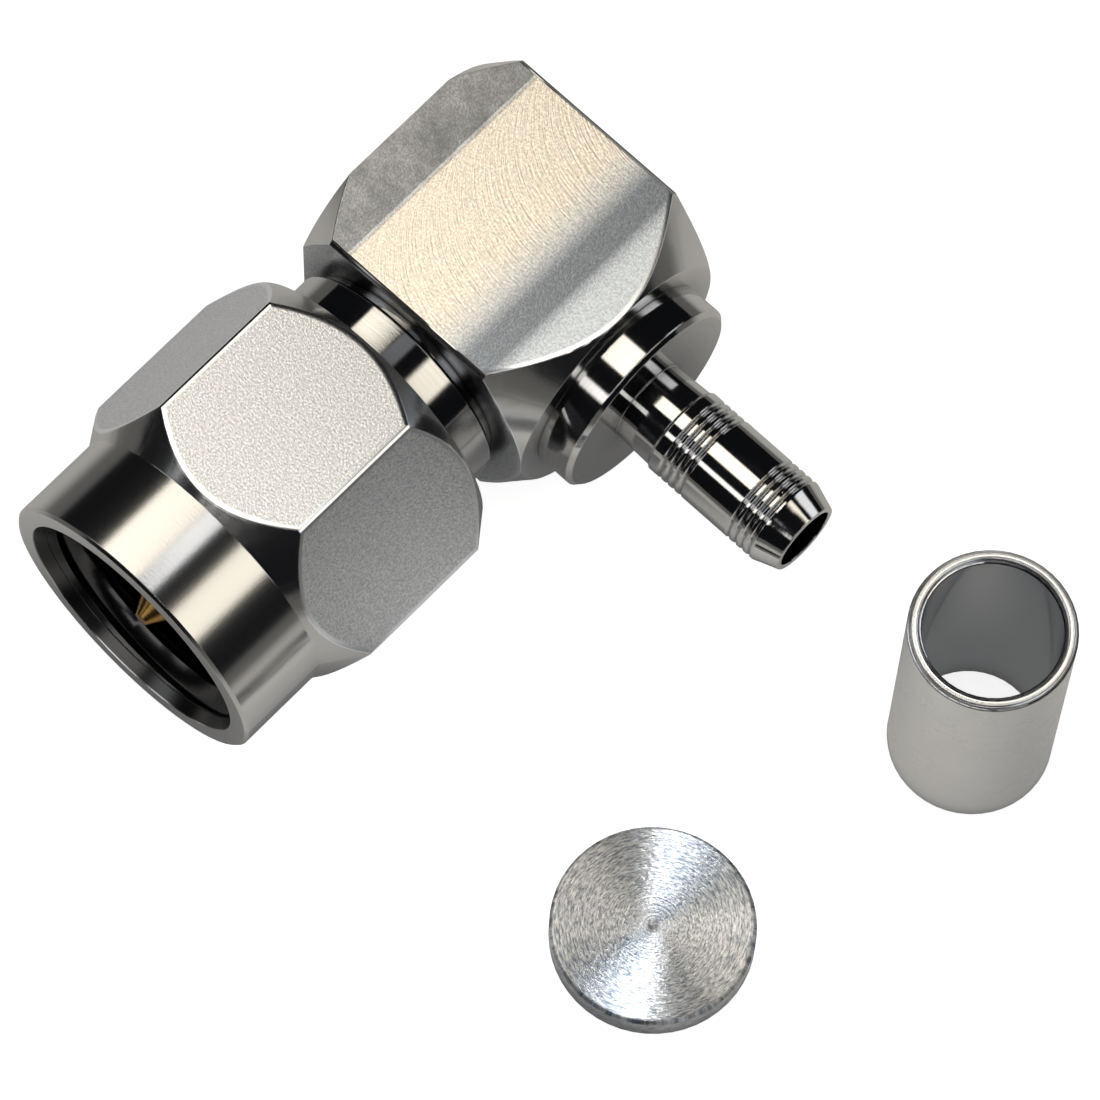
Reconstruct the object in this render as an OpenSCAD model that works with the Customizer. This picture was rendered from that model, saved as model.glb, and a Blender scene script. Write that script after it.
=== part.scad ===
// Right-angle coaxial crimp plug with a captive coupling nut, its crimp ferrule and its end cap.
// Origin: the mating reference plane, on the plug axis. -Y points out of the plug's mouth,
// +X runs out along the cable stem, +Z is up. All lengths are in millimetres.

/* [Coupling nut] */
// Major diameter of the 36 TPI coupling thread
thread_d = 6.35; // [6.3:0.01:6.5]
// Wall between the thread and a wrench flat, which makes 8 mm across the flats
nut_wall = 0.825; // [0.75:0.025:1.325]
// How much the bar's corners are turned down, across the corners
corner_trim = 0.04; // [0.02:0.01:0.12]
// How far the round skirt at the mouth lies below the flats
skirt_step = 0.12; // [0.08:0.01:0.2]
// Edge break of the skirt's rim
rim_break = 0.08; // [0.04:0.01:0.12]
// Overall length of the nut
nut_len = 8.13; // [7.8:0.01:9]
// How far the nut's mouth stands ahead of the reference plane
nut_overhang = 2.73; // [2.6:0.01:3.1]
// Length of the wrench flats, measured along the middle of a flat
flat_len = 5.42; // [5:0.01:5.6]
// Plain end of the nut behind the flats
rear_land = 0.08; // [0.05:0.01:0.3]
// Length of the front chamfer for each unit of radius
front_slope = 1.5; // [1.3:0.05:1.6]
// Length of the rear chamfer for each unit of radius
rear_slope = 1.3; // [1:0.05:1.5]
// Radial depth of the thread
thread_depth = 0.345; // [0.3:0.005:0.38]
// Radial room that the mouth's countersink leaves round the thread
mouth_flare = 0.155; // [0.1:0.005:0.2]
// Depth of the mouth's countersink
mouth_depth = 0.3; // [0.2:0.01:0.4]
// Length of the threaded wall
thread_len = 3.73; // [3.4:0.01:3.9]
// Depth of the run-out groove beyond the thread's major radius
runout_depth = 0.08; // [0.04:0.01:0.15]
// Thickness of the web that the barrel's shank runs in
web_len = 2.4; // [2.2:0.01:2.6]

/* [Retaining ring] */
// How deep the split spring ring sits in the barrel's shank
ring_in_shank = 0.37; // [0.25:0.01:0.42]
// How deep it sits in the nut's web
ring_in_nut = 0.27; // [0.2:0.01:0.32]
// Thickness of the ring
ring_t = 0.6; // [0.5:0.02:0.7]
// Width of the split
ring_split = 1.6; // [1:0.1:2.4]
// Distance from the nut's rear face to the ring's middle
ring_inset = 1.35; // [1.2:0.01:1.5]
// Play between the ring and its two grooves
ring_play = 0.08; // [0.05:0.01:0.1]

/* [Plug barrel] */
// Wall of the outer contact sleeve
sleeve_wall = 0.225; // [0.18:0.005:0.28]
// Wall left under the ring's groove
groove_wall = 0.19; // [0.14:0.01:0.25]
// Length of the sleeve from the reference plane to the gasket's seat
sleeve_len = 1.95; // [1.8:0.01:2.1]
// Radial room for the flange to pass the nut's thread
pass_gap = 0.05; // [0.03:0.01:0.08]
// How far the flange stands above the shank that the nut turns on
flange_step = 0.08; // [0.06:0.01:0.12]
// Radial running clearance between the nut's web and the shank
run_gap = 0.05; // [0.03:0.01:0.08]
// Room along the axis between the nut and the parts beside it
end_play = 0.1; // [0.06:0.01:0.15]
// Diameter of the hub behind the nut
hub_d = 6.36; // [6.2:0.02:6.6]
// Length of the hub
hub_len = 1.04; // [0.8:0.02:1.4]
// Edge break of the hub
hub_break = 0.08; // [0.04:0.01:0.12]
// Depth of the relief between the hub and the block
relief_drop = 0.28; // [0.2:0.01:0.36]
// Width of that relief
relief_len = 0.27; // [0.15:0.01:0.4]
// Diameter of the spigot pressed into the block
spigot_d = 5.24; // [5.1:0.02:5.4]

/* [Gasket] */
// Thickness of the silicone sealing washer
gasket_t = 0.8; // [0.6:0.05:1]

/* [Insulator and contact] */
// Diameter of the contact inside the insulator
contact_d = 1.27; // [1.2:0.01:1.35]
// Diameter of the mating pin
pin_d = 0.91; // [0.88:0.01:0.95]
// Reach of the mating pin past the reference plane
pin_reach = 2.4; // [2:0.02:2.5]
// Diameter of the pin's blunt tip
pin_tip_d = 0.36; // [0.2:0.02:0.5]
// Length of the pin's taper
pin_taper_len = 0.45; // [0.3:0.05:0.6]
// Diameter of the shoulder behind the insulator
shoulder_d = 1.9; // [1.7:0.05:2.2]
// Thickness of the shoulder
shoulder_t = 0.35; // [0.25:0.05:0.5]
// Diameter of the slotted solder post
post_d = 1.5; // [1.3:0.05:1.6]
// How far the post passes the cable's axis
post_past = 1.1; // [0.9:0.05:1.4]
// Width of the slot that takes the cable's inner conductor
slot_w = 0.56; // [0.5:0.02:0.7]
// Depth of the slot below the cable's axis
slot_below = 0.6; // [0.4:0.05:0.8]

/* [Block] */
// Width across the flats of the square bar
block_w = 6.78; // [6.6:0.02:7.4]
// Distance from the plug's axis to the stem's end face
stem_face = 3.86; // [3.7:0.02:4.4]
// Distance from the plug's axis to the far end face
far_face = 3.46; // [3.3:0.02:4]
// Diameter of the far end face's chamfer circle
far_chamfer_d = 7.6; // [7.2:0.05:8]
// Edge break along the bar
bar_break = 0.12; // [0.05:0.01:0.2]
// Wall left between the barrel's spigot and the stem's
spigot_wall = 0.09; // [0.06:0.01:0.2]
// Diameter of the chamber that the cable is soldered in
chamber_d = 4.2; // [4:0.05:4.4]
// Edge break round the cap's seat
seat_break = 0.1; // [0.05:0.01:0.15]

/* [Cable stem] */
// Diameter of the stem's collar
collar_d = 5.56; // [5.2:0.02:5.8]
// Length of the collar
collar_len = 1.04; // [0.8:0.02:1.3]
// Edge break of the collar
collar_break = 0.12; // [0.06:0.01:0.2]
// Diameter of the bore that takes the cable's dielectric
cable_bore_d = 1.68; // [1.6:0.01:1.72]
// Wall of the stem
stem_wall = 0.37; // [0.34:0.01:0.45]
// Depth of the stem's relieved root, where it meets the collar
root_drop = 0.1; // [0.06:0.01:0.14]
// Depth that is left of it where the root ends
root_step = 0.06; // [0.03:0.01:0.06]
// Length of the root
root_len = 1.1; // [0.8:0.05:1.3]
// Length of the stem outside the collar
stem_len = 5.22; // [5:0.02:6.4]
// Wall of the stem's tip
tip_wall = 0.14; // [0.1:0.01:0.2]
// Length of the tip's taper
tip_len = 0.66; // [0.5:0.02:0.8]
// Diameter of the stem's spigot inside the block
stem_spigot_d = 3; // [2.8:0.05:3.2]
// Length of that spigot
stem_spigot_len = 1.3; // [1:0.05:1.4]
// Grooves in each of the two bands that grip the braid
band_grooves = 4; // [2:1:4]
// Pitch of the grooves
groove_pitch = 0.22; // [0.2:0.01:0.24]
// Width of a groove, which is cut to a vee
groove_w = 0.14; // [0.1:0.01:0.16]
// Depth of a groove
groove_depth = 0.07; // [0.04:0.01:0.1]
// Land between the root and the first band
near_land = 0.29; // [0.2:0.01:0.4]
// Land between the second band and the tip's taper
far_land = 0.06; // [0.04:0.01:0.2]

/* [Crimp ferrule] */
// Radial room for the braid between the stem and the ferrule
braid_gap = 0.48; // [0.44:0.01:0.54]
// Wall of the ferrule
ferrule_wall = 0.35; // [0.28:0.01:0.4]
// Length of the ferrule
ferrule_len = 7.6; // [7:0.05:8.2]
// Edge break of the ferrule's ends
ferrule_break = 0.12; // [0.06:0.01:0.15]
// Where the ferrule stands, out from the plug's axis
ferrule_x = 15.68; // [14.5:0.02:18]
// Where the ferrule stands, past the stem's axis
ferrule_y = 0.24; // [-0.5:0.02:1]

/* [End cap] */
// Diameter of the end cap
cap_d = 5.04; // [4.96:0.02:5.1]
// Thickness of the cap, and depth of its seat
cap_t = 0.86; // [0.7:0.02:1]
// Edge break of the cap
cap_break = 0.08; // [0.04:0.01:0.12]
// Diameter of the turning nib at the cap's centre
nib_d = 0.3; // [0.2:0.02:0.4]
// Height of the nib
nib_h = 0.06; // [0.03:0.01:0.1]
// Where the cap lies, out from the plug's axis
cap_x = 13.54; // [12.5:0.02:16]
// Where the cap lies, ahead of the stem's axis
cap_y = 8.88; // [7.8:0.02:10]

/* [Fits] */
// Radial clearance of the pieces that are slipped together and soldered or pressed
slip_gap = 0.01; // [0.01:0.01:0.02]
// Radial clearance of the cap in its seat
seat_gap = 0.02; // [0.01:0.01:0.03]

/* [Hidden] */
$fn = 96;
// Extra reach of a cutter past the face that it opens
cut = 0.5;

// Places along the plug's axis, from the mouth back
mouth_y = -nut_overhang;
nut_rear_y = mouth_y + nut_len;
flat_rear_y = nut_rear_y - rear_land;
flat_front_y = flat_rear_y - flat_len;
thread_start_y = mouth_y + mouth_depth;
thread_end_y = thread_start_y + thread_len;
web_front_y = nut_rear_y - web_len;
ring_y = nut_rear_y - ring_inset;
hub_front_y = nut_rear_y + end_play;
hub_rear_y = hub_front_y + hub_len;
block_front_y = hub_rear_y + relief_len;
stem_y = block_front_y + block_w / 2;
block_rear_y = block_front_y + block_w;
barrel_rear_y = stem_y - stem_spigot_d / 2 - spigot_wall;
seat_floor_y = block_rear_y - cap_t;
post_front_y = barrel_rear_y + shoulder_t;
post_rear_y = stem_y + post_past;

// Places along the stem's axis
collar_face_x = stem_face + collar_len;
tip_x = collar_face_x + stem_len;
band_len = (band_grooves - 1) * groove_pitch + groove_w;
near_band_x = collar_face_x + root_len + root_step + near_land;
far_band_x = tip_x - tip_len - far_land - band_len;

// Radii from the thread inward, each by what lies between it and the last
thread_r = thread_d / 2;
flange_r = thread_r - thread_depth - pass_gap;
shank_r = flange_r - flange_step;
ring_inner_r = shank_r - ring_in_shank;
shank_groove_r = ring_inner_r - ring_play;
barrel_bore_r = shank_groove_r - groove_wall;
insulator_r = barrel_bore_r - slip_gap;
sleeve_r = barrel_bore_r + sleeve_wall;
contact_bore_r = contact_d / 2 + slip_gap;

// Radii from the shank outward
web_bore_r = shank_r + run_gap;
ring_outer_r = web_bore_r + ring_in_nut;
nut_groove_r = ring_outer_r + ring_play;
ring_groove_half = ring_t / 2 + ring_play;
mouth_r = thread_r + mouth_flare;
flat_r = thread_r + nut_wall;
skirt_r = flat_r - skirt_step;

// The surface that the pieces lie on
bench_z = -flat_r;

// Radii about the stem's axis
cable_bore_r = cable_bore_d / 2;
stem_r = cable_bore_r + stem_wall;
ferrule_bore_r = stem_r + braid_gap;

// A profile of [radius, distance] points turned about the plug's axis
module turned_y(points) {
    rotate([-90, 0, 0]) rotate_extrude() polygon(points);
}

// A profile of [radius, distance] points turned about the stem's axis
module turned_x(points) {
    translate([0, stem_y, 0]) rotate([0, 90, 0]) rotate_extrude() polygon(points);
}

// A tube wall between two radii, with both its ends broken inside and out
function tube_profile(r_in, r_out, length, edge) = [
    [r_in + edge, 0], [r_out - edge, 0], [r_out, edge], [r_out, length - edge],
    [r_out - edge, length], [r_in + edge, length], [r_in, length - edge], [r_in, edge]];

// Square bar, turned to a chamfer at both ends, with its crossing bores
module body_block() {
    color([0.74, 0.73, 0.70]) difference() {
        intersection() {
            block_bar();
            block_turning();
        }
        block_plug_bores();
        block_stem_bores();
    }
}

module block_bar() {
    translate([-far_face, stem_y, 0]) rotate([0, 90, 0])
        linear_extrude(far_face + stem_face) intersection() {
            square(block_w, center = true);
            rotate(45) square(block_w * sqrt(2) - 2 * bar_break / sqrt(2), center = true);
        }
}

// Both ends are turned at 45 degrees: to the flats at the stem's end, and just past them at the far end
module block_turning() {
    near_r = block_w / 2;
    far_r = far_chamfer_d / 2;
    big_r = block_w;
    turned_x([[0, -far_face], [far_r, -far_face], [big_r, big_r - far_r - far_face],
              [big_r, stem_face - big_r + near_r], [near_r, stem_face], [0, stem_face]]);
}

module block_plug_bores() {
    spigot_r = spigot_d / 2 + slip_gap;
    seat_r = cap_d / 2 + seat_gap;
    turned_y([[0, block_front_y - cut], [spigot_r, block_front_y - cut], [spigot_r, barrel_rear_y],
              [chamber_d / 2, barrel_rear_y], [chamber_d / 2, seat_floor_y], [seat_r, seat_floor_y],
              [seat_r, block_rear_y - seat_break], [seat_r + seat_break, block_rear_y],
              [seat_r + seat_break, block_rear_y + cut], [0, block_rear_y + cut]]);
}

module block_stem_bores() {
    spigot_r = stem_spigot_d / 2 + slip_gap;
    turned_x([[0, 0], [cable_bore_r, 0], [cable_bore_r, stem_face - stem_spigot_len],
              [spigot_r, stem_face - stem_spigot_len], [spigot_r, stem_face + cut],
              [0, stem_face + cut]]);
}

// Stem with its collar and its two grooved bands, turned from one bar
module crimp_stem() {
    color([0.62, 0.61, 0.59]) difference() {
        stem_turning();
        for (band_x = [near_band_x, far_band_x], i = [0:band_grooves - 1])
            stem_groove(band_x + i * groove_pitch);
    }
}

module stem_turning() {
    spigot_r = stem_spigot_d / 2;
    collar_r = collar_d / 2;
    root_end_x = collar_face_x + root_len;
    turned_x([[cable_bore_r, stem_face - stem_spigot_len], [spigot_r, stem_face - stem_spigot_len],
              [spigot_r, stem_face], [collar_r, stem_face],
              [collar_r, collar_face_x - collar_break], [collar_r - collar_break, collar_face_x],
              [stem_r - root_drop, collar_face_x], [stem_r - root_step, root_end_x],
              [stem_r, root_end_x + root_step], [stem_r, tip_x - tip_len],
              [cable_bore_r + tip_wall, tip_x], [cable_bore_r, tip_x]]);
}

// A vee that is carried past the stem's surface at the same slope
module stem_groove(x) {
    turned_x([[stem_r - groove_depth, x + groove_w / 2],
              [stem_r + groove_depth, x - groove_w / 2],
              [stem_r + groove_depth, x + 3 * groove_w / 2]]);
}

// Outer contact sleeve, flange, shank and hub in one piece, with its spigot in the block
module plug_barrel() {
    flange_rear_y = web_front_y - end_play;
    hub_r = hub_d / 2;
    color([0.78, 0.77, 0.75]) turned_y([
        [barrel_bore_r, 0], [sleeve_r, 0], [sleeve_r, sleeve_len], [flange_r, sleeve_len],
        [flange_r, flange_rear_y], [shank_r, flange_rear_y], [shank_r, ring_y - ring_groove_half],
        [shank_groove_r, ring_y - ring_groove_half], [shank_groove_r, ring_y + ring_groove_half],
        [shank_r, ring_y + ring_groove_half], [shank_r, hub_front_y],
        [hub_r - hub_break, hub_front_y], [hub_r, hub_front_y + hub_break],
        [hub_r, hub_rear_y - hub_break], [hub_r - hub_break, hub_rear_y],
        [hub_r - relief_drop, hub_rear_y], [hub_r - relief_drop, block_front_y],
        [spigot_d / 2, block_front_y], [spigot_d / 2, barrel_rear_y],
        [barrel_bore_r, barrel_rear_y]]);
}

module front_insulator() {
    color([0.93, 0.92, 0.88]) turned_y([
        [contact_bore_r, 0], [insulator_r, 0], [insulator_r, barrel_rear_y],
        [contact_bore_r, barrel_rear_y]]);
}

// Mating pin, the length inside the insulator, the shoulder and the slotted solder post
module center_contact() {
    pin_r = pin_d / 2;
    color([0.85, 0.66, 0.25]) difference() {
        turned_y([
            [0, -pin_reach], [pin_tip_d / 2, -pin_reach], [pin_r, pin_taper_len - pin_reach], [pin_r, 0],
            [contact_d / 2, 0], [contact_d / 2, barrel_rear_y], [shoulder_d / 2, barrel_rear_y],
            [shoulder_d / 2, post_front_y], [post_d / 2, post_front_y], [post_d / 2, post_rear_y],
            [0, post_rear_y]]);
        translate([-post_d, stem_y - slot_below, -slot_w / 2])
            cube([2 * post_d, slot_below + post_past + cut, slot_w]);
    }
}

// Split ring that lies half in the barrel's groove and half in the nut's
module retaining_ring() {
    color([0.55, 0.50, 0.38]) difference() {
        turned_y([
            [ring_inner_r, ring_y - ring_t / 2], [ring_outer_r, ring_y - ring_t / 2],
            [ring_outer_r, ring_y + ring_t / 2], [ring_inner_r, ring_y + ring_t / 2]]);
        translate([-ring_split / 2, ring_y - ring_t, 0])
            cube([ring_split, 2 * ring_t, 2 * ring_outer_r]);
    }
}

module gasket() {
    gasket_r = sleeve_r + slip_gap;
    color([0.75, 0.30, 0.16]) turned_y([
        [gasket_r, sleeve_len - gasket_t], [flange_r, sleeve_len - gasket_t],
        [flange_r, sleeve_len], [gasket_r, sleeve_len]]);
}

// Hexagon bar turned to a skirt in front, chamfered at both ends and bored for thread, web and ring
module coupling_nut() {
    color([0.76, 0.75, 0.73]) difference() {
        intersection() {
            nut_bar();
            nut_turning();
        }
        nut_bore();
    }
}

module nut_bar() {
    translate([0, mouth_y, 0]) rotate([-90, 0, 0])
        linear_extrude(nut_len) circle(r = flat_r / cos(30), $fn = 6);
}

module nut_turning() {
    corner_r = flat_r / cos(30) - corner_trim / 2;
    turned_y([
        [0, mouth_y], [skirt_r - rim_break, mouth_y], [skirt_r, mouth_y + rim_break],
        [skirt_r, flat_front_y - (flat_r - skirt_r) * front_slope],
        [corner_r, flat_front_y + (corner_r - flat_r) * front_slope],
        [corner_r, flat_rear_y - (corner_r - flat_r) * rear_slope],
        [flat_r - rear_land / rear_slope, nut_rear_y], [0, nut_rear_y]]);
}

module nut_bore() {
    runout_r = thread_r + runout_depth;
    turned_y([
        [0, mouth_y - cut], [mouth_r, mouth_y - cut], [mouth_r, mouth_y],
        [thread_r, thread_start_y], [thread_r, thread_end_y], [runout_r, thread_end_y],
        [runout_r, web_front_y], [web_bore_r, web_front_y], [web_bore_r, ring_y - ring_groove_half],
        [nut_groove_r, ring_y - ring_groove_half], [nut_groove_r, ring_y + ring_groove_half],
        [web_bore_r, ring_y + ring_groove_half], [web_bore_r, nut_rear_y + cut],
        [0, nut_rear_y + cut]]);
}

// Plain tube, stood on its end beside the stem
module crimp_ferrule() {
    color([0.70, 0.69, 0.67]) translate([ferrule_x, stem_y + ferrule_y, bench_z])
        rotate_extrude() polygon(tube_profile(ferrule_bore_r, ferrule_bore_r + ferrule_wall,
                                              ferrule_len, ferrule_break));
}

// Turned disc, laid flat, with the nib that the turning tool leaves at its centre
module end_cap() {
    cap_r = cap_d / 2;
    color([0.80, 0.79, 0.77]) translate([cap_x, stem_y - cap_y, bench_z])
        rotate_extrude() polygon([
            [0, 0], [cap_r - cap_break, 0], [cap_r, cap_break], [cap_r, cap_t - cap_break],
            [cap_r - cap_break, cap_t], [nib_d / 2, cap_t], [nib_d / 6, cap_t + nib_h],
            [0, cap_t + nib_h]]);
}

body_block();
crimp_stem();
plug_barrel();
front_insulator();
center_contact();
retaining_ring();
gasket();
coupling_nut();
crimp_ferrule();
end_cap();
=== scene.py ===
"""Visual model of a right-angle coaxial crimp plug with its loose ferrule and end cap.

The scene is in metres, in the frame of the CAD part: the origin is the mating reference plane
on the plug's axis, -Y points out of the plug's mouth, +X runs out along the cable stem and +Z
is up. The classes hold sizes in millimetres and angles in degrees, and a pattern's pitch or
fineness tells how many of its cells a millimetre holds. The CAD nodes keep their shapes and get
their finishes here. The coupling thread's ridges are the one form that is modelled here.
"""

import logging
import math
from dataclasses import dataclass
from enum import Enum
from functools import reduce
from typing import Callable

import bpy
from mathutils import Euler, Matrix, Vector


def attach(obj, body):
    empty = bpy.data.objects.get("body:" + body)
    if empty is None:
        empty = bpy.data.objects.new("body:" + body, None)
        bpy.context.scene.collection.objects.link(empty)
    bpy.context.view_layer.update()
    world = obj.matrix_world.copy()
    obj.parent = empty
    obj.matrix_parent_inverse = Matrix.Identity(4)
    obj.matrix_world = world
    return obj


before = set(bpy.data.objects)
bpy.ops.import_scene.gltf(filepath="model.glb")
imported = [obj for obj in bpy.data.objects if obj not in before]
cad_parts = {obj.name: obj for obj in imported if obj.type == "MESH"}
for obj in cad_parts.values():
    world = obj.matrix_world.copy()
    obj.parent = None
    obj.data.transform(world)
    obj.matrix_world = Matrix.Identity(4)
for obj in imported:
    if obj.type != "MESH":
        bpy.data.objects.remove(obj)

logging.basicConfig(level=logging.INFO, format="%(message)s")
log = logging.getLogger("coaxial_plug")

MM = 0.001

Colour = tuple[float, float, float]
Point = tuple[float, float, float]
Pair = tuple[float, float]
Socket = bpy.types.NodeSocket
Number = Socket | float
Skin = tuple[Socket, Socket]  # a surface's colour and its roughness


class Axis(Enum):
    """Which way a turned piece's own axis runs."""

    PLUG = "Y"
    STEM = "X"
    UPRIGHT = "Z"


class Output(Enum):
    """What a node tree ends in."""

    MATERIAL = "OutputMaterial"
    WORLD = "OutputWorld"


class Ease(Enum):
    """How a value goes from one end of a range to the other."""

    STRAIGHT = "LINEAR"
    SMOOTH = "SMOOTHSTEP"


class Laying(Enum):
    """How a colour is laid on another."""

    OVER = "MIX"
    AS_TINT = "MULTIPLY"


class Contrast(Enum):
    """How far from its middle, 0.5, a noise pattern has turned wholly to one of two tones."""

    SOFT = 0.20
    PLAIN = 0.15
    CLEAR = 0.12
    HARD = 0.10


class Cut(Enum):
    """What a turned form leaves of a piece."""

    INSIDE = "INTERSECT"
    OUTSIDE = "DIFFERENCE"


# ---------------------------------------------------------------------------
# Node building


@dataclass(frozen=True)
class Spot:
    """A point of the surface: its place from the piece's centre, and about the piece's axis."""

    here: Socket
    radius: Socket
    along: Socket
    angle: Socket


class ShaderBench:
    """Builds one node tree, a node at a time, laid out in rows."""

    ROW_LENGTH = 12
    NODE_ROOM = (190, 240)
    EDGE_RAYS = 6
    # painted shade: the reach, range and colour of the darkening in corners and recesses
    CORNER_SHADE_REACH = 1.3
    CORNER_SHADE_RANGE = (0.72, 0.22)
    CORNER_SHADE = (0.05, 0.05, 0.05)
    RING_WAVER = 0.35

    def __init__(self, tree: bpy.types.NodeTree, output: Output = Output.MATERIAL) -> None:
        """Empty the tree and give it an output.

        Args:
            tree: the material's or the world's nodes.
            output: what the tree ends in.
        """
        self.tree = tree
        self.tree.nodes.clear()
        self.output = self.node(output.value, "result")

    @classmethod
    def for_material(cls, name: str) -> tuple["ShaderBench", bpy.types.Material]:
        """Make a material and the bench that builds it.

        Args:
            name: the material's name.

        Returns:
            The bench and the material.
        """
        material = bpy.data.materials.new(name)
        material.use_nodes = True
        return cls(material.node_tree), material

    def node(self, kind: str, label: str = "", **settings: object) -> bpy.types.Node:
        """Add a node.

        Args:
            kind: the node's type without its "ShaderNode" prefix.
            label: what the node does, shown as its title.
            **settings: attributes set on the node.

        Returns:
            The new node.
        """
        row, column = divmod(len(self.tree.nodes), self.ROW_LENGTH)
        made = self.tree.nodes.new("ShaderNode" + kind)
        made.label = label
        made.location = (column * self.NODE_ROOM[0], -row * self.NODE_ROOM[1])
        for key, value in settings.items():
            setattr(made, key, value)
        return made

    def put(self, value: object, socket: Socket) -> None:
        """Give an input its value.

        Args:
            value: a socket to link, or a number, a vector or a colour to set.
            socket: the input.
        """
        if isinstance(value, Socket):
            self.tree.links.new(value, socket)
        elif socket.type == "RGBA":
            socket.default_value = (*value, 1.0)
        else:
            socket.default_value = value

    def feed(self, node: bpy.types.Node, *values: object, **inputs: object) -> bpy.types.Node:
        """Give a node its inputs.

        Args:
            node: the node to feed.
            *values: its first inputs, in order.
            **inputs: inputs by name, with spaces as underscores.

        Returns:
            The same node.
        """
        for index, value in enumerate(values):
            self.put(value, node.inputs[index])
        for name, value in inputs.items():
            self.put(value, node.inputs[name.replace("_", " ")])
        return node

    def show(self, shader: bpy.types.Node) -> None:
        """Send a shader to the tree's output."""
        self.tree.links.new(shader.outputs[0], self.output.inputs["Surface"])

    def math(self, operation: str, *values: Number, label: str = "") -> Socket:
        """Combine one or two values with a Math node."""
        return self.feed(self.node("Math", label, operation=operation), *values).outputs[0]

    def plus(self, *values: Number) -> Socket:
        """Add values."""
        return reduce(lambda first, second: self.math("ADD", first, second), values)

    def minus(self, first: Number, second: Number) -> Socket:
        """Take the second value from the first."""
        return self.math("SUBTRACT", first, second)

    def times(self, *values: Number) -> Socket:
        """Multiply values."""
        return reduce(lambda first, second: self.math("MULTIPLY", first, second), values)

    def least(self, *values: Number) -> Socket:
        """Give the smallest value."""
        return reduce(lambda first, second: self.math("MINIMUM", first, second), values)

    def most(self, *values: Number) -> Socket:
        """Give the largest value."""
        return reduce(lambda first, second: self.math("MAXIMUM", first, second), values)

    def size(self, value: Number) -> Socket:
        """Give a value without its sign."""
        return self.math("ABSOLUTE", value)

    def dot(self, vector: Socket, direction: Point) -> Socket:
        """Give how far a vector reaches along a direction."""
        made = self.node("VectorMath", "reach along a direction", operation="DOT_PRODUCT")
        return self.feed(made, vector, direction).outputs["Value"]

    def split(self, vector: Socket) -> tuple[Socket, ...]:
        """Give a vector's three parts."""
        return tuple(self.feed(self.node("SeparateXYZ", "parts"), vector).outputs)

    def join(self, x: Number, y: Number = 0.0, z: Number = 0.0) -> Socket:
        """Make a vector of three parts."""
        return self.feed(self.node("CombineXYZ", "vector"), x, y, z).outputs[0]

    def place(self, centre: Point = (0, 0, 0)) -> Socket:
        """Give Object coordinates in millimetres.

        Args:
            centre: the point that they start from, in millimetres.

        Returns:
            The vector's socket.
        """
        where = self.node("TexCoord", "where on the piece").outputs["Object"]
        made = self.feed(self.node("Mapping", "from the piece's centre"), Vector=where,
                         Location=[-v for v in centre], Scale=(1 / MM,) * 3)
        return made.outputs[0]

    def spot(self, centre: Point, axis: Axis) -> Spot:
        """Find the point of the surface about a turned piece's axis.

        Args:
            centre: a point on the axis, in millimetres.
            axis: which way the axis runs.

        Returns:
            The point, with its lengths in millimetres and its angle in radians.
        """
        here = self.place(centre)
        x, y, z = self.split(here)
        across, up, along = {Axis.PLUG: (x, z, y), Axis.STEM: (y, z, x),
                             Axis.UPRIGHT: (x, y, z)}[axis]
        squared = self.plus(self.times(across, across), self.times(up, up))
        return Spot(here, self.math("SQRT", squared, label="radius"), along,
                    self.math("ARCTAN2", up, across, label="angle"))

    def noise(self, vector: Socket, fineness: float, detail: float = 3,
              roughness: float = 0.55, label: str = "") -> Socket:
        """Add a noise pattern.

        Args:
            vector: the point.
            fineness: how many of the pattern's cells a unit of the point holds.
            detail: how many finer layers it has.
            roughness: how strong the finer layers are.
            label: what the pattern is.

        Returns:
            The pattern's value, about 0 to 1 with its middle at 0.5.
        """
        return self.feed(self.node("TexNoise", label), Vector=vector, Scale=fineness,
                         Detail=detail, Roughness=roughness).outputs[0]

    def tool_rings(self, spot: Spot, pitch: float) -> Socket:
        """Draw the rings that a lathe tool leaves.

        Args:
            spot: the point.
            pitch: how many rings a millimetre holds.

        Returns:
            The rings' height, about 0 to 1.
        """
        waver = self.times(self.math("COSINE", spot.angle), self.RING_WAVER)
        where = self.join(self.times(spot.radius, pitch), self.times(spot.along, pitch), waver)
        return self.noise(where, 1.0, roughness=0.6, label="tool rings")

    def spread(self, value: Socket, start: float, end: float, low: float, high: float,
               ease: Ease = Ease.STRAIGHT) -> Socket:
        """Map a value's range to another, held at both ends.

        Args:
            value: the value.
            start: where its range starts.
            end: where its range ends.
            low: the result at the start.
            high: the result at the end.
            ease: how the result goes from one to the other.

        Returns:
            The result's socket.
        """
        made = self.node("MapRange", "range", interpolation_type=ease.value)
        return self.feed(made, value, start, end, low, high).outputs[0]

    def ramp(self, value: Socket, start: float, end: float,
             ease: Ease = Ease.STRAIGHT) -> Socket:
        """Give 0 where a value is at the start and 1 where it is at the end."""
        return self.spread(value, start, end, 0, 1, ease)

    def contrast(self, pattern: Socket, half: Contrast, low: float = 0,
                 high: float = 1) -> Socket:
        """Use the middle of a noise pattern as the whole way from low to high."""
        return self.spread(pattern, 0.5 - half.value, 0.5 + half.value, low, high)

    def blend(self, factor: Number, first: object, second: object,
              laying: Laying = Laying.OVER) -> Socket:
        """Lay a colour on another.

        Args:
            factor: how much of the second colour is laid on.
            first: the colour below.
            second: the colour laid on it.
            laying: how it is laid on.

        Returns:
            The colour's socket.
        """
        made = self.node("Mix", "colours", data_type="RGBA", blend_type=laying.value)
        for index, value in ((0, factor), (6, first), (7, second)):
            self.put(value, made.inputs[index])
        return made.outputs[2]

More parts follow.
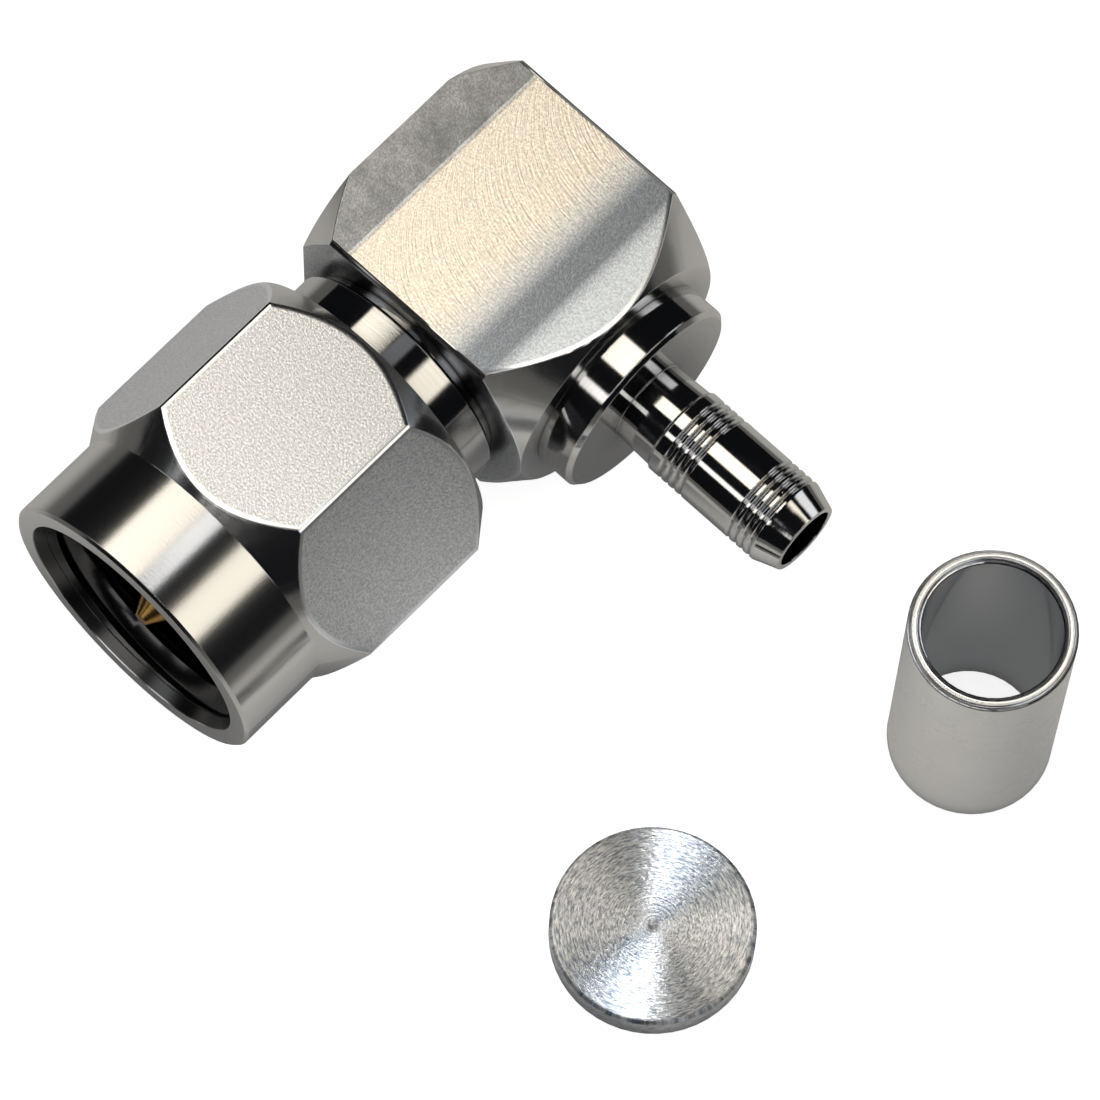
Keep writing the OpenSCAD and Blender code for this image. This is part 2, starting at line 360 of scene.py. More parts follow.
    def choose(self, factor: Number, first: Number, second: Number) -> Socket:
        """Go from one number to another.

        Args:
            factor: 0 for the first number and 1 for the second.
            first: the first number.
            second: the second number.

        Returns:
            The number's socket.
        """
        made = self.node("Mix", "numbers", data_type="FLOAT")
        for index, value in ((0, factor), (2, first), (3, second)):
            self.put(value, made.inputs[index])
        return made.outputs[0]

    def relief(self, height: Socket, under: Socket, strength: float = 1.0,
               depth: float = 1.0) -> Socket:
        """Raise the surface by a height pattern.

        Args:
            height: the pattern.
            under: the normal of the surface below it.
            strength: how much of the pattern is used.
            depth: the relief of a height of 1, in millimetres.

        Returns:
            The normal's socket.
        """
        return self.feed(self.node("Bump", "relief"), Strength=strength, Distance=depth * MM,
                         Height=height, Normal=under).outputs[0]

    def edge_round(self, radius: float) -> Socket:
        """Soften the edges that a radius in millimetres can reach."""
        made = self.node("Bevel", "rounded edges", samples=self.EDGE_RAYS)
        return self.feed(made, Radius=radius * MM).outputs[0]

    def metal(self, colour: Socket, roughness: Number, normal: Socket,
              **brushed: Number) -> None:
        """Finish the material as plated metal, with painted shade that darkens its corners and
        recesses.

        Args:
            colour: the metal's colour before the painted corner shade.
            roughness: the metal's roughness.
            normal: the surface.
            **brushed: the shader's inputs that draw brushed metal's streaks.
        """
        # painted shade: ambient occlusion darkens the colour in corners, creases and gaps
        # between parts
        hollow = self.feed(self.node("AmbientOcclusion", "corners", samples=self.EDGE_RAYS),
                           Distance=self.CORNER_SHADE_REACH * MM)
        corner_shade = self.ramp(hollow.outputs["AO"], *self.CORNER_SHADE_RANGE)
        self.show(self.feed(self.node("BsdfPrincipled", "plated metal"), Metallic=1.0,
                            Base_Color=self.blend(corner_shade, colour, self.CORNER_SHADE),
                            Roughness=roughness, Normal=normal, **brushed))


# ---------------------------------------------------------------------------
# Finishes


@dataclass(frozen=True)
class TurnedNickel:
    """Bright plating over a turned surface, with rings left by the tool."""

    name: str
    axis: Axis
    centre: Point = (0, 0, 0)
    colour: Colour = (0.65, 0.645, 0.635)
    shade: Colour = (0.56, 0.555, 0.545)
    shade_share: float = 0.5
    roughness: Pair = (0.045, 0.09)
    cloud_fineness: float = 0.8
    rings: float = 0.12
    ring_pitch: float = 14.0
    ring_depth: float = 0.004
    pits: float = 0.06
    pit_fineness: float = 26.0
    pit_depth: float = 0.006
    edge: float = 0.05

    def make(self) -> bpy.types.Material:
        """Build the material.

        Returns:
            The material.
        """
        bench, material = ShaderBench.for_material(self.name)
        spot = bench.spot(self.centre, self.axis)
        rings = bench.tool_rings(spot, self.ring_pitch)
        cloud = bench.noise(spot.here, self.cloud_fineness, label="uneven plating")
        pits = bench.noise(spot.here, self.pit_fineness, detail=2, roughness=0.7, label="pits")
        normal = bench.relief(rings, bench.edge_round(self.edge), self.rings, self.ring_depth)
        normal = bench.relief(pits, normal, self.pits, self.pit_depth)
        colour = bench.blend(bench.contrast(rings, Contrast.PLAIN, high=self.shade_share),
                             self.colour, self.shade)
        rough = bench.choose(bench.contrast(cloud, Contrast.SOFT), *self.roughness)
        bench.metal(*self._vary(bench, spot, (colour, rough)), self._crown(bench, spot, normal))
        return material

    def _crown(self, bench: ShaderBench, spot: Spot, normal: Socket) -> Socket:
        """Leave the ends as they were turned."""
        return normal

    def _vary(self, bench: ShaderBench, spot: Spot, skin: Skin) -> Skin:
        """Leave the plating alike all over."""
        return skin


@dataclass(frozen=True)
class TubeNickel(TurnedNickel):
    """Plated tube: drawn smooth inside, faced at its ends."""

    bore_r: float = 1.74
    bore_roughness: float = 0.10
    bore_colour: Colour = (0.74, 0.76, 0.78)
    step: float = 0.02
    rim: float = 3.50
    rim_roughness: float = 0.26
    # painted highlight: the rim's near-white colour stands in for the light on it
    rim_highlight_colour: Colour = (0.97, 0.98, 1.0)
    rim_middle: float = 1.865
    rim_half: float = 0.17
    rim_slope: float = 0.14
    rim_tilt: Pair = (0.08, 0.08)
    wheel_lines: float = 0.8
    wheel_pitch: float = 22.0
    wheel_depth: float = 0.04

    def _on_rim(self, bench: ShaderBench, spot: Spot) -> Socket:
        """Give 1 on the tube's upper rim and 0 below it."""
        return bench.ramp(spot.along, self.rim, self.rim + self.step)

    def _vary(self, bench: ShaderBench, spot: Spot, skin: Skin) -> Skin:
        """Give the bore its own finish, and the rim its own roughness and a bright colour that
        paints a highlight on it.

        Args:
            bench: the material being built.
            spot: the point, from the tube's centre.
            skin: the tube's finish outside.

        Returns:
            The finish all over.
        """
        colour, rough = skin
        bore = bench.ramp(spot.radius, self.bore_r, self.bore_r - self.step)
        rim = self._on_rim(bench, spot)
        colour = bench.blend(rim, bench.blend(bore, colour, self.bore_colour), self.rim_highlight_colour)
        return colour, bench.choose(rim, bench.choose(bore, rough, self.bore_roughness),
                                    self.rim_roughness)

    def _crown(self, bench: ShaderBench, spot: Spot, normal: Socket) -> Socket:
        """Round the rim over a little, as a cutting wheel and tumbling leave it.

        Args:
            bench: the material being built.
            spot: the point, from the tube's centre.
            normal: the surface so far.

        Returns:
            The normal with the rim's crown and the wheel's lines.
        """
        rim = self._on_rim(bench, spot)
        aside = bench.minus(spot.radius, self.rim_middle)
        x, y, _ = bench.split(spot.here)
        fall = bench.plus(bench.times(aside, aside, -self.rim_slope / (2 * self.rim_half)),
                          bench.times(x, self.rim_tilt[0]), bench.times(y, self.rim_tilt[1]))
        lines = bench.noise(bench.join(bench.times(spot.radius, self.wheel_pitch)), 1.0,
                            detail=2, label="wheel lines")
        crowned = bench.relief(bench.times(fall, rim), normal)
        return bench.relief(bench.times(lines, rim), crowned, self.wheel_lines,
                            self.wheel_depth)


@dataclass(frozen=True)
class BarNickel:
    """Plating over drawn bar: grain on the flats, tool rings where it was turned."""

    name: str
    axis: Axis
    centre: Point
    flats: tuple[Point, ...]
    flat_reach: float
    flat_fade: Pair = (0.03, 0.008)
    colour: Colour = (0.65, 0.645, 0.635)
    roughness: float = 0.16
    ring_pitch: float = 16.0
    ring_share: float = 0.18
    pit_share: float = 0.30
    grain_colour: Colour = (0.88, 0.90, 0.935)
    grain_shade: Colour = (0.58, 0.59, 0.62)
    grain_roughness: float = 0.25
    grain: float = 0.22
    grain_fineness: float = 20.0
    pit_fineness: float = 16.0
    depth: float = 0.012
    edge: float = 0.02
    roll_width: float = 0.14
    roll_slope: float = 0.16
    rubbed_width: float = 0.07
    bore_limit: float = 3.4
    bore_ease: float = 0.05

    def make(self) -> bpy.types.Material:
        """Build the material.

        Returns:
            The material.
        """
        bench, material = ShaderBench.for_material(self.name)
        spot = bench.spot(self.centre, self.axis)
        on_flat = self._flat_mask(bench, spot)
        rings = bench.tool_rings(spot, self.ring_pitch)
        grain = bench.noise(spot.here, self.grain_fineness, detail=1, roughness=0.9,
                            label="grain")
        pits = bench.noise(spot.here, self.pit_fineness, detail=2, roughness=0.9, label="pits")
        normal, worn = self._roll_edges(bench, spot, bench.edge_round(self.edge))
        kept = bench.times(on_flat, bench.minus(1.0, worn))
        turned = bench.plus(bench.times(rings, self.ring_share),
                            bench.times(pits, self.pit_share))
        height = bench.choose(on_flat, turned, bench.times(grain, kept))
        normal = bench.relief(height, normal, self.grain, self.depth)
        rough = bench.choose(kept, self.roughness, self.grain_roughness)
        speckle = bench.blend(bench.contrast(pits, Contrast.HARD), self.grain_shade,
                              self.grain_colour)
        tone, rough = self._tone_flats(bench, spot, (speckle, rough))
        colour = bench.blend(on_flat, self.colour, bench.blend(worn, tone, self.grain_colour))
        bench.metal(*self._shade_inside(bench, spot, (colour, rough)),
                    self._shape_flats(bench, spot, normal))
        return material

    def _flat_mask(self, bench: ShaderBench, spot: Spot) -> Socket:
        """Give 1 on the bar's flats and 0 where it was turned.

        Args:
            bench: the material being built.
            spot: the point, from the bar's centre.

        Returns:
            The mask's socket.
        """
        reach = bench.most(*(bench.size(bench.dot(spot.here, flat)) for flat in self.flats))
        return bench.ramp(reach, *(self.flat_reach - fade for fade in self.flat_fade))

    def _edge_distances(self, bench: ShaderBench, spot: Spot) -> tuple[Socket, ...]:
        """Give the distances from the edges of the flat that the point is on."""
        raise NotImplementedError

    def _roll_edges(self, bench: ShaderBench, spot: Spot,
                    normal: Socket) -> tuple[Socket, Socket]:
        """Let the flats fall away a little towards their edges, as tumbling leaves them.

        Args:
            bench: the material being built.
            spot: the point, from the bar's centre.
            normal: the surface so far.

        Returns:
            The normal with rolled edges, and how much of the grain is rubbed away, 0 to 1.
        """
        nearest = bench.least(*self._edge_distances(bench, spot))
        into = bench.most(bench.minus(self.roll_width, bench.most(nearest, 0.0)), 0.0)
        rise = bench.times(bench.minus(self.roll_width ** 2, bench.times(into, into)),
                           self.roll_slope / (2 * self.roll_width))
        outside = bench.ramp(spot.radius, self.bore_limit, self.bore_limit + self.bore_ease)
        rolled = bench.relief(bench.times(rise, outside), normal)
        return rolled, bench.ramp(into, 0, self.rubbed_width)

    def _shape_flats(self, bench: ShaderBench, spot: Spot, normal: Socket) -> Socket:
        """Leave the flats as they were drawn."""
        return normal

    def _tone_flats(self, bench: ShaderBench, spot: Spot, skin: Skin) -> Skin:
        """Leave the flats alike all over."""
        return skin

    def _shade_inside(self, bench: ShaderBench, spot: Spot, skin: Skin) -> Skin:
        """Leave the inside without painted shade."""
        return skin


@dataclass(frozen=True)
class NutNickel(BarNickel):
    """Hexagon bar, bored and tapped, with painted shade down in the thread."""

    bore_r: float = 3.345
    bore_y: float = -2.72
    bore_fade: float = 0.03
    # painted shade: the dark bore colour stands in for the shade down in the thread
    bore_colour: Colour = (0.08, 0.08, 0.08)
    bore_roughness: float = 0.22
    corner_r: float = 4.6188
    corner_slope: float = 2.0
    front_y: float = -0.10
    rear_y: float = 5.32
    front_slope: float = 1.5
    rear_slope: float = 1.3

    def _edge_distances(self, bench: ShaderBench, spot: Spot) -> tuple[Socket, ...]:
        """Give the distances from the corner edges and from the two chamfers.

        Args:
            bench: the material being built.
            spot: the point, from the nut's centre.

        Returns:
            The three distances, in millimetres.
        """
        rise = bench.minus(spot.radius, self.flat_reach)
        corner = bench.times(bench.minus(self.corner_r, spot.radius), self.corner_slope)
        front = bench.minus(bench.minus(spot.along, self.front_y),
                            bench.times(rise, self.front_slope))
        rear = bench.minus(bench.minus(self.rear_y, spot.along),
                           bench.times(rise, self.rear_slope))
        return corner, front, rear

    def _shade_inside(self, bench: ShaderBench, spot: Spot, skin: Skin) -> Skin:
        """Paint shade inside the bore: its dark colour stands in for the shade down in the
        thread.

        Args:
            bench: the material being built.
            spot: the point, from the nut's centre.
            skin: the finish outside.

        Returns:
            The finish all over.
        """
        inside = bench.times(
            bench.ramp(spot.radius, self.bore_r, self.bore_r - self.bore_fade),
            bench.ramp(spot.along, self.bore_y, self.bore_y + self.bore_fade))
        return (bench.blend(inside, skin[0], self.bore_colour),
                bench.choose(inside, skin[1], self.bore_roughness))


@dataclass(frozen=True)
class BlockNickel(BarNickel):
    """Square bar whose upper and lower flats were cleaned by an end mill along the middle.

    Each of the bends adds a curve to the flat, from its place along X on. The reaches are
    counted from an edge of the mill's path.
    """

    grain: float = 0.11
    roll_slope: float = 0.11
    bore_limit: float = 1.6
    bore_ease: float = 1.4
    stem_x: float = 3.86
    far_x: float = -3.46
    far_r: float = 4.05
    level_fade: Pair = (0.03, 0.005)
    left_tilt: float = -0.09
    middle_tilt: float = 0.08
    pitch: float = 0.03
    bends: tuple[Pair, ...] = ((0.6, -0.139), (1.9, 0.139), (2.5, 0.28), (3.2, -0.28))
    lip: float = 0.06
    lip_slope: float = 0.16
    mill_left: float = -1.98
    mill_right: float = 1.35
    mill_x: float = 1.4
    mill_r: float = 3.6
    arcs: float = 0.3
    arc_fineness: Pair = (16.0, 0.9)
    left_cut_reach: Pair = (0.0, 0.1)
    right_cut_reach: Pair = (0.3, -0.3)
    left_tone_reach: Pair = (-0.02, 0.05)
    right_tone_reach: Pair = (-0.7, 0.5)
    # painted reflection: the milled band's warm, bright colour stands in for the cream window
    # reflected in it
    mill_sheen_colour: Colour = (0.86, 0.775, 0.655)
    mill_roughness: float = 0.19
    streaks: float = 0.3
    left_colour: Colour = (0.74, 0.75, 0.75)
    left_shade: Colour = (0.46, 0.47, 0.48)
    blotch_fineness: float = 1.1
    right_colour: Colour = (0.68, 0.73, 0.78)
    speckle: float = 0.7

    def _edge_distances(self, bench: ShaderBench, spot: Spot) -> tuple[Socket, ...]:
        """Give the distances from the square's corners and from the two turned cones.

        Args:
            bench: the material being built.
            spot: the point, from the block's centre.

        Returns:
            The three distances, in millimetres.
        """
        _, y, z = bench.split(spot.here)
        corner = bench.minus(self.flat_reach, bench.least(bench.size(y), bench.size(z)))
        stem_cone = bench.minus(self.stem_x + self.flat_reach,
                                bench.plus(spot.along, spot.radius))
        far_cone = bench.minus(bench.minus(spot.along, self.far_x),
                               bench.minus(spot.radius, self.far_r))
        return corner, stem_cone, far_cone

    def _level(self, bench: ShaderBench, z: Socket) -> Socket:
        """Give 1 on the upper and the lower flat and 0 elsewhere."""
        return bench.ramp(bench.size(z), *(self.flat_reach - fade for fade in self.level_fade))

    def _past(self, bench: ShaderBench, x: Socket, edge: float, reach: Pair) -> Socket:
        """Give 0 before an edge of the mill's path and 1 past it."""
        return bench.ramp(x, edge + reach[0], edge + reach[1])

    def _arcs(self, bench: ShaderBench, x: Socket, y: Socket) -> Socket:
        """Draw the arcs of an end mill that was fed along Y.

        Args:
            bench: the material being built.
            x: the point's place across the mill's path, in millimetres.
            y: its place along the path, in millimetres.

        Returns:
            The arcs' height, about 0 to 1.
        """
        across = bench.minus(x, self.mill_x)
        squared = bench.minus(self.mill_r ** 2, bench.times(across, across))
        feed = bench.plus(y, bench.math("SQRT", bench.most(squared, 0.0)))
        where = bench.join(bench.times(feed, self.arc_fineness[0]),
                           bench.times(x, self.arc_fineness[1]))
        return bench.noise(where, 1.0, roughness=0.65, label="cutter arcs")

    def _shape_flats(self, bench: ShaderBench, spot: Spot, normal: Socket) -> Socket:
        """Cut the mill's path: bands of slightly different tilt, and the cutter's arcs.

        Args:
            bench: the material being built.
            spot: the point, from the block's centre.
            normal: the surface so far.

        Returns:
            The normal with the mill's work on it.
        """
        x, y, z = bench.split(spot.here)
        level = self._level(bench, z)
        aside = bench.minus(x, self.mill_left)
        lip = bench.most(bench.minus(self.lip, bench.size(aside)), 0.0)
        shape = bench.plus(bench.times(x, self.middle_tilt), bench.times(y, self.pitch),
                           bench.times(bench.least(aside, 0.0),
                                       self.left_tilt - self.middle_tilt),
                           bench.times(lip, self.lip_slope))
        for start, curve in self.bends:
            past = bench.most(bench.minus(x, start), 0.0)
            shape = bench.plus(shape, bench.times(past, past, curve / 2))
        tilted = bench.relief(bench.times(shape, level), normal)
        cut = bench.times(self._arcs(bench, x, y), level,
                          self._past(bench, x, self.mill_left, self.left_cut_reach),
                          self._past(bench, x, self.mill_right, self.right_cut_reach))
        return bench.relief(cut, tilted, self.arcs, self.depth)

    def _tone_flats(self, bench: ShaderBench, spot: Spot, skin: Skin) -> Skin:
        """Tone the milled band smooth, with a warm, bright colour that paints the left window's
        cream reflection on it, and the drawn bands beside it grey.

        Args:
            bench: the material being built.
            spot: the point, from the block's centre.
            skin: the finish of drawn bar.

        Returns:
            The finish with the bands on it.
        """
        x, y, z = bench.split(spot.here)
        level = self._level(bench, z)
        after_left = self._past(bench, x, self.mill_left, self.left_tone_reach)
        after_right = self._past(bench, x, self.mill_right, self.right_tone_reach)
        streaks = bench.contrast(self._arcs(bench, x, y), Contrast.PLAIN, high=self.streaks)
        blotches = bench.contrast(
            bench.noise(spot.here, self.blotch_fineness, detail=4, roughness=0.7,
                        label="blotches"), Contrast.PLAIN)
        bands = bench.blend(after_left,
                            bench.blend(blotches, self.left_colour, self.left_shade),
                            bench.blend(streaks, self.mill_sheen_colour, self.left_colour))
        bands = bench.blend(after_right, bands, self.right_colour)
        toned = bench.blend(self.speckle, bands, skin[0], Laying.AS_TINT)
        milled = bench.times(bench.minus(after_left, after_right), level)
        return (bench.blend(level, skin[0], toned),
                bench.choose(milled, skin[1], self.mill_roughness))


@dataclass(frozen=True)
class FacedNickel:
    """Plating over a faced disc, whose rings draw bright fans, with painted shade darkening two
    opposite sectors beside them.
    """

    name: str
    centre: Point
    colour: Colour = (0.76, 0.76, 0.765)
    shade: Colour = (0.22, 0.24, 0.27)
    # painted shade: darker colours in the two opposite sectors set by the turn below, standing
    # in for the dark flanks beside the fans
    shade_sector_turn: float = 1.66
    shade_sector_range: Pair = (0.1, 0.9)
    shade_sector_colour: Colour = (0.50, 0.52, 0.54)
    shade_sector_grain: Colour = (0.12, 0.15, 0.19)
    roughness: float = 0.28
    anisotropy: float = 0.96
    cross_grain: float = 0.25
    dish: float = 0.05
    edge: float = 0.1
    rings: float = 0.5
    ring_pitch: float = 13.0
    ring_depth: float = 0.014
    middle_reach: Pair = (0.35, 1.3)
    middle_gain: Pair = (3.5, 1.0)
    tears: float = 0.6
    tear_pitch: float = 23.0
    tear_turn: float = 10.0
    tear_depth: float = 0.012

    def make(self) -> bpy.types.Material:
        """Build the material.

        Returns:
            The material.
        """
        bench, material = ShaderBench.for_material(self.name)
        spot = bench.spot(self.centre, Axis.UPRIGHT)
        gain = bench.spread(spot.radius, *self.middle_reach, *self.middle_gain)
        rings = bench.times(bench.tool_rings(spot, self.ring_pitch), gain)
        tears = self._torn_cuts(bench, spot)
        normal = bench.relief(bench.times(spot.radius, self.dish), bench.edge_round(self.edge))
        normal = bench.relief(rings, normal, self.rings, self.ring_depth)
        normal = bench.relief(tears, normal, self.tears, self.tear_depth)
        # painted shade: the colours darken in two opposite sectors
        shade_sector = bench.ramp(self._shade_sector_way(bench, spot), *self.shade_sector_range)
        colour = bench.blend(bench.contrast(tears, Contrast.CLEAR),
                             bench.blend(shade_sector, self.shade, self.shade_sector_grain),
                             bench.blend(shade_sector, self.colour, self.shade_sector_colour))
        tangent = bench.node("Tangent", "along the rings", direction_type="RADIAL", axis="Z")
        bench.metal(colour, self.roughness, normal, Anisotropic=self.anisotropy,
                    Anisotropic_Rotation=self.cross_grain, Tangent=tangent.outputs[0])
        return material

    def _torn_cuts(self, bench: ShaderBench, spot: Spot) -> Socket:
        """Draw short tears along the rings.

        Args:
            bench: the material being built.
            spot: the point, from the disc's centre.

        Returns:
            The tears' height, about 0 to 1.
        """
        where = bench.join(bench.times(bench.plus(spot.radius, spot.along), self.tear_pitch),
                           bench.times(bench.math("COSINE", spot.angle), self.tear_turn),
                           bench.times(bench.math("SINE", spot.angle), self.tear_turn))
        return bench.noise(where, 1.0, roughness=0.75, label="torn cuts")

    def _shade_sector_way(self, bench: ShaderBench, spot: Spot) -> Socket:
        """Give 1 along the line of the two painted shade sectors and -1 square to it."""
        return bench.math("COSINE", bench.minus(bench.times(spot.angle, 2.0),
                                                2 * self.shade_sector_turn))


@dataclass(frozen=True)
class SoftBody:
    """A plastic or rubber with a fine skin."""

    name: str
    colour: Colour
    shade: Colour
    grain_fineness: float
    through: float = 0.0
    through_depth: float = 0.3
    roughness: float = 0.5
    uneven: float = 0.08
    cloud_fineness: float = 1.4
    grain: float = 0.2
    grain_depth: float = 0.01
    edge: float = 0.04

    def make(self) -> bpy.types.Material:
        """Build the material.

        Returns:
            The material.
        """
        bench, material = ShaderBench.for_material(self.name)
        here = bench.place()
        cloud = bench.contrast(bench.noise(here, self.cloud_fineness, label="uneven tone"),
                               Contrast.SOFT)
        grain = bench.noise(here, self.grain_fineness, label="skin")
        bench.show(bench.feed(
            bench.node("BsdfPrincipled", "moulded or cut skin"),
            Base_Color=bench.blend(cloud, self.colour, self.shade),
            Roughness=bench.contrast(grain, Contrast.SOFT, self.roughness - self.uneven,
                                     self.roughness + self.uneven),
            Normal=bench.relief(grain, bench.edge_round(self.edge), self.grain,
                                self.grain_depth),
            Subsurface_Weight=self.through, Subsurface_Scale=self.through_depth * MM))
        return material


# ---------------------------------------------------------------------------
# Modelling helpers


class Bench:
    """Modelling moves shared by the sub-assemblies."""

    @staticmethod
    def clear_selection() -> None:
        """Leave nothing selected and no piece in edit mode."""
        if bpy.context.object is not None and bpy.context.object.mode != "OBJECT":
            bpy.ops.object.mode_set(mode="OBJECT")
        bpy.ops.object.select_all(action="DESELECT")

    @staticmethod
    def take(piece: bpy.types.Object) -> None:
        """Make a piece the only one selected, and the active one.

        Args:
            piece: the piece.
        """
        Bench.clear_selection()
        piece.select_set(True)
        bpy.context.view_layer.objects.active = piece

    @staticmethod
    def pick(piece: bpy.types.Object, wanted: Callable[[Vector], bool]) -> None:
        """Select the vertices that a test on their place wants, and enter edit mode.

        Args:
            piece: the mesh to select in.
            wanted: tells whether a vertex, in metres, is wanted.
        """
        bpy.ops.object.mode_set(mode="EDIT")
        bpy.ops.mesh.select_mode(type="VERT")
        bpy.ops.mesh.select_all(action="DESELECT")
        bpy.ops.object.mode_set(mode="OBJECT")
        for vertex in piece.data.vertices:
            vertex.select = wanted(vertex.co)
        bpy.ops.object.mode_set(mode="EDIT")

    @staticmethod
    def settle(piece: bpy.types.Object) -> None:
        """Apply a piece's place, turn and size, so that they are in its mesh."""
        Bench.take(piece)
        bpy.ops.object.transform_apply(location=True, rotation=True, scale=True)

    @staticmethod
    def finish_with(piece: bpy.types.Object, modifier: bpy.types.Modifier) -> None:
        """Apply a piece's modifier."""
        Bench.take(piece)
        bpy.ops.object.modifier_apply(modifier=modifier.name)

    @staticmethod
    def dress(node: str, material: bpy.types.Material) -> None:
        """Give a CAD node its finish.

        Args:
            node: the node's name.
            material: the finish.
        """
        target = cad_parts[node]
        slots = target.material_slots
        if not slots:
            target.data.materials.append(material)
        for slot in slots:
            slot.material = material
        log.info("dressed %s in %s", node, material.name)


# ---------------------------------------------------------------------------
# Sub-assemblies


@dataclass
class CouplingNut:
    """The hexagon nut and the ridges of its thread."""

    across_flats: float = 8.0
    flat_angles: tuple[float, ...] = (30, 90, 150)
    wall_r: float = 3.18
    crest_r: float = 2.83
    pitch: float = 25.4 / 36
    root_half: float = 0.3087
    crest_half: float = 0.1095
    start_y: float = -2.43
    end_y: float = 1.30
    lead_in_y: float = -1.76
    early_turns: float = 1.5
    turns: int = 7
    steps: int = 56
    spare: float = 0.3
    lead_in_spare: float = 0.4
    cutter_sides: int = 96
    smooth_angle: float = 35
    weld: float = 0.0001

    def build(self) -> None:
        """Dress the nut and cut its thread."""
        flats = tuple((math.cos(math.radians(a)), 0.0, math.sin(math.radians(a)))
                      for a in self.flat_angles)
        finish = NutNickel("nickel_hexagon_bar", Axis.PLUG, (0, 0, 0), flats,
                           self.across_flats / 2).make()
        Bench.dress("coupling_nut", finish)
        ridges = self._ridges()
        self._trim(ridges)
        bpy.ops.object.shade_smooth_by_angle(angle=math.radians(self.smooth_angle))
        ridges.data.materials.append(finish)
        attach(ridges, "nut")
        log.info("cut thread_ridges, %d faces", len(ridges.data.polygons))

    def _ridges(self) -> bpy.types.Object:
        """Wind the ridge's profile into a helix with closed ends.

        Returns:
            The helix, a little longer than the thread at both ends.
        """
        Bench.clear_selection()
        first = self.start_y - self.early_turns * self.pitch
        middle = (self.wall_r + self.crest_r) / 2
        bpy.ops.mesh.primitive_plane_add(size=1, location=(middle * MM, first * MM, 0))
        ridge = bpy.context.object
        ridge.name = "thread_ridges"
        ridge.scale = ((self.wall_r - self.crest_r) * MM, 2 * self.root_half * MM, 1)
        Bench.settle(ridge)
        Bench.pick(ridge, lambda place: place.x < middle * MM)
        bpy.ops.transform.resize(value=(1, self.crest_half / self.root_half, 1),
                                 center_override=(self.crest_r * MM, first * MM, 0))
        bpy.ops.object.mode_set(mode="OBJECT")
        winding = ridge.modifiers.new("winding", "SCREW")
        winding.axis = "Y"
        winding.screw_offset = self.pitch * MM
        winding.iterations = self.turns
        winding.steps = winding.render_steps = self.steps
        winding.use_normal_calculate = True
        Bench.finish_with(ridge, winding)
        bpy.ops.object.mode_set(mode="EDIT")
        bpy.ops.mesh.select_all(action="SELECT")
        bpy.ops.mesh.remove_doubles(threshold=self.weld * MM)
        bpy.ops.mesh.select_all(action="DESELECT")
        bpy.ops.mesh.select_non_manifold(extend=False)
        bpy.ops.mesh.fill_holes(sides=0)
        bpy.ops.mesh.select_all(action="SELECT")
        bpy.ops.mesh.normals_make_consistent(inside=False)
        bpy.ops.object.mode_set(mode="OBJECT")
        return ridge

    def _trim(self, ridges: bpy.types.Object) -> None:
        """Face both ends square, and cone the first turns where the mating thread leads in.

        Args:
            ridges: the helix to trim.
        """
        around = self.wall_r + self.spare
        self._carve(ridges, Cut.INSIDE, self.end_y, self.start_y, around, around)
        spare = self.lead_in_spare
        rise = spare * (self.wall_r - self.crest_r) / (self.lead_in_y - self.start_y)
        self._carve(ridges, Cut.OUTSIDE, self.lead_in_y + spare, self.start_y - spare,
                    self.crest_r - rise, self.wall_r + rise)

    def _carve(self, piece: bpy.types.Object, keep: Cut, back: float, front: float,
               back_r: float, front_r: float) -> None:
        """Cut a piece with a turned form on the plug's axis.

        Args:
            piece: the piece to cut.
            keep: what the form leaves of it.
            back: the form's end towards the block.
            front: its end towards the mouth.
            back_r: its radius at the back.
            front_r: its radius at the front.
        """
        Bench.clear_selection()
        bpy.ops.mesh.primitive_cone_add(
            vertices=self.cutter_sides, depth=(back - front) * MM,
            location=(0, (back + front) / 2 * MM, 0), rotation=(math.radians(90), 0, 0),
            radius1=back_r * MM, radius2=front_r * MM)
        form = bpy.context.object
        Bench.settle(form)
        cut = piece.modifiers.new("cut", "BOOLEAN")
        cut.operation, cut.object, cut.solver = keep.value, form, "EXACT"
        Bench.finish_with(piece, cut)
        bpy.data.objects.remove(form, do_unlink=True)


@dataclass
class PlugBody:
    """The block with what is fixed in it."""

    stem_y: float = 10.20
    block_half: float = 3.39

    def build(self) -> None:
        """Dress each piece of the body."""
        stem_axis = (0, self.stem_y, 0)
        finishes = {
            "body_block": BlockNickel("nickel_square_bar", Axis.STEM, stem_axis,
                                      ((0, 1, 0), (0, 0, 1)), self.block_half),
            "crimp_stem": TurnedNickel("nickel_stem", Axis.STEM, stem_axis),
            # painted shade: the gold is darkened to stand in for the shade deep in the nut's
            # mouth
            "plug_barrel": TurnedNickel("nickel_barrel", Axis.PLUG),
            "center_contact": TurnedNickel("gold_contact", Axis.PLUG,
                                           colour=(0.42, 0.25, 0.08), shade=(0.32, 0.18, 0.05),
                                           roughness=(0.20, 0.28)),
            "retaining_ring": TurnedNickel("bronze_ring", Axis.PLUG,
                                           colour=(0.62, 0.44, 0.26), shade=(0.5, 0.34, 0.2)),
            "front_insulator": SoftBody("ptfe_insulator", colour=(0.86, 0.85, 0.80),
                                        shade=(0.80, 0.79, 0.74), grain_fineness=20.0,
                                        through=0.3),
            "gasket": SoftBody("silicone_gasket", colour=(0.50, 0.09, 0.04),
                               shade=(0.42, 0.07, 0.03), grain_fineness=16.0),
        }
        for node, finish in finishes.items():
            Bench.dress(node, finish.make())


